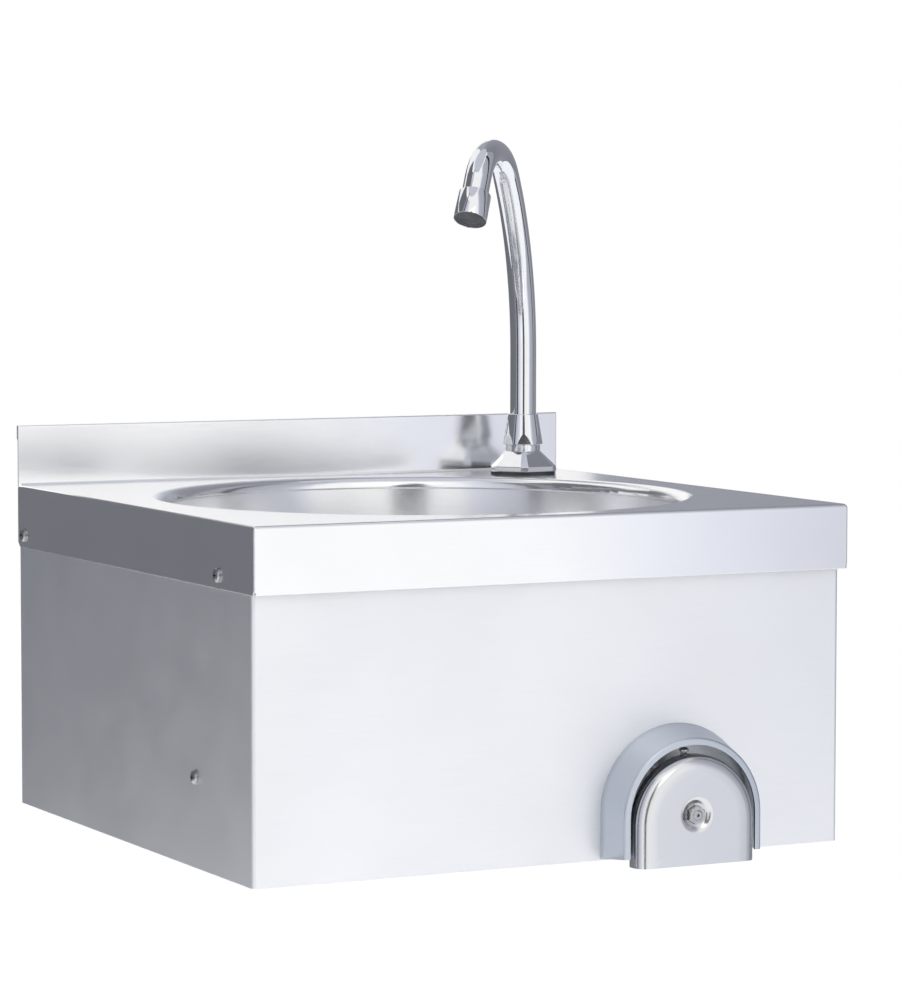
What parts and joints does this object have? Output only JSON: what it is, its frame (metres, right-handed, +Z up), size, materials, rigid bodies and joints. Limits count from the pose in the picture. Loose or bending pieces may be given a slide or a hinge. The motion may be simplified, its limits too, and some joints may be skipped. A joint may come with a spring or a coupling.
{
  "type": "hand wash sink",
  "caption": "Wall-hung square stainless hand wash sink with a round bowl, low splash-back, swan-neck swivel spout and a sprung knee pad that opens the water.",
  "frame": {"origin": "middle of the four wall screw holes, on the wall plane", "axes": "+Z up, -Y out of the wall towards the user, +X to the user's right"},
  "size_m": [0.4048, 0.4037, 0.4394],
  "materials": {
    "satin_steel": "fine long-grain satin stainless sheet",
    "bright_steel": "plain bright stainless fastener",
    "chrome": "polished chrome plate on brass",
    "brass": "machined raw brass",
    "copper": "drawn copper pipe",
    "black_rubber": "moulded black rubber",
    "grey_plastic": "moulded white-grey polypropylene",
    "dark_plastic": "moulded dark plastic mesh"
  },
  "bodies": {
    "sink": {"top_deck": "satin_steel", "bowl": "satin_steel", "casing": "satin_steel", "knee_collar": "satin_steel", "cross_brace": "satin_steel", "apron_screws": "bright_steel", "apron_nuts": "bright_steel", "brace_screws": "bright_steel", "brace_nuts": "bright_steel", "valve_body": "brass", "valve_gasket": "black_rubber", "nose_nut": "brass", "gland_ring": "black_rubber", "inlet_connector": "brass", "inlet_lock_nut": "brass", "guide_arm": "satin_steel", "feed_pipe": "copper", "outlet_union_nut": "brass", "shank_union_nut": "brass", "tap_body": "chrome", "tap_gasket": "black_rubber", "tap_washer": "black_rubber", "tap_back_nut": "brass", "spout_nut": "chrome", "waste_grid": "satin_steel", "waste_body": "grey_plastic", "waste_seal": "black_rubber", "waste_screw": "bright_steel"},
    "knee_button": {"knee_pad": "satin_steel", "pad_nut": "bright_steel", "push_rod": "bright_steel", "guide_strap": "satin_steel", "guide_screw": "bright_steel", "guide_lock_nut": "bright_steel", "poppet": "brass", "seat_washer": "black_rubber", "return_spring": "bright_steel"},
    "spout": {"spout_tail": "brass", "spout_rings": "black_rubber", "spout_tube": "chrome", "aerator_housing": "chrome", "aerator_washer": "black_rubber", "aerator_insert": "dark_plastic"}
  },
  "joints": [
    {"name": "knee_push", "type": "slide", "parent": "sink", "child": "knee_button", "axis": [0, 1, 0], "range_m": [0, 0.008], "stiffness_N_per_m": 1200, "springref_m": -0.006, "deforming": ["return_spring"]},
    {"name": "spout_swivel", "type": "hinge", "parent": "sink", "child": "spout", "pos_m": [0.1535, -0.0405, 0.163], "axis": [0, 0, 1], "range_deg": [-45, 130]}
  ]
}
